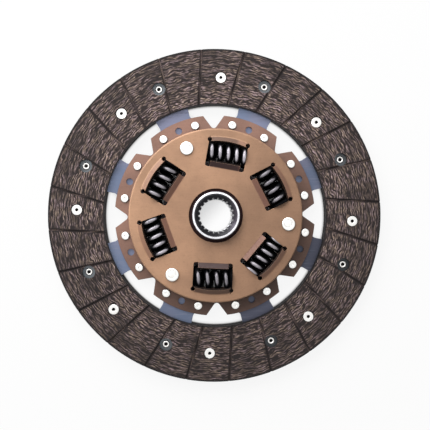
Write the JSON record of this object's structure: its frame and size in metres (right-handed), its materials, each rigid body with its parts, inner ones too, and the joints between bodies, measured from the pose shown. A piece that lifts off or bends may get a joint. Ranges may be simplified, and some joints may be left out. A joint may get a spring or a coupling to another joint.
{
  "type": "clutch disc",
  "caption": "Sprung clutch disc with riveted friction facings, wavy cushion segments, lipped spring windows and a splined hub that turns a little against damper springs.",
  "frame": {"origin": "on the disc's axis, in the plane of the rear friction face that it rests on", "axes": "+Z along the disc's axis, out of the retaining plate's side; +Y is the picture's up, so the notches between the lobes lie on +X, on +Y and every 45 degrees"},
  "size_m": [0.225, 0.225, 0.0218],
  "materials": {
    "friction_facing": "matt moulded friction composite with tan yarn showing in it",
    "blued_spring_steel": "blue-grey tempered spring steel",
    "black_spring": "gloss black coated spring wire",
    "rivet": "bright plated steel",
    "stop_pin": "bright steel with a formed head",
    "coated_plate": "satin tan-brown coating on pressed steel",
    "hub_steel": "turned and broached steel, darker in the bore",
    "friction_washer": "matt dark friction composite"
  },
  "bodies": {
    "disc": {"front_facing": "friction_facing", "rear_facing": "friction_facing", "cushion_segment_1": "blued_spring_steel", "cushion_segment_2": "blued_spring_steel", "cushion_segment_3": "blued_spring_steel", "cushion_segment_4": "blued_spring_steel", "cushion_segment_5": "blued_spring_steel", "cushion_segment_6": "blued_spring_steel", "cushion_segment_7": "blued_spring_steel", "cushion_segment_8": "blued_spring_steel", "front_facing_rivets": "rivet", "rear_facing_rivets": "rivet", "cushion_rivets": "rivet", "clutch_plate": "coated_plate", "retaining_plate": "coated_plate", "damper_spring_1": "black_spring", "damper_spring_2": "black_spring", "damper_spring_3": "black_spring", "damper_spring_4": "black_spring", "damper_spring_5": "black_spring", "damper_spring_6": "black_spring", "stop_pin_1": "stop_pin", "stop_pin_2": "stop_pin", "stop_pin_3": "stop_pin", "front_friction_washer": "friction_washer", "rear_friction_washer": "friction_washer", "cone_spring_washer": "blued_spring_steel"},
    "hub": {"hub": "hub_steel"}
  },
  "joints": [
    {"name": "damper_turn", "type": "hinge", "parent": "disc", "child": "hub", "pos_m": [0, 0, 0.0103], "axis": [0, 0, 1], "range_deg": [-5, 5], "stiffness_Nm_per_rad": 570, "deforming": ["damper_spring_1", "damper_spring_2", "damper_spring_3", "damper_spring_4", "damper_spring_5", "damper_spring_6"]}
  ]
}
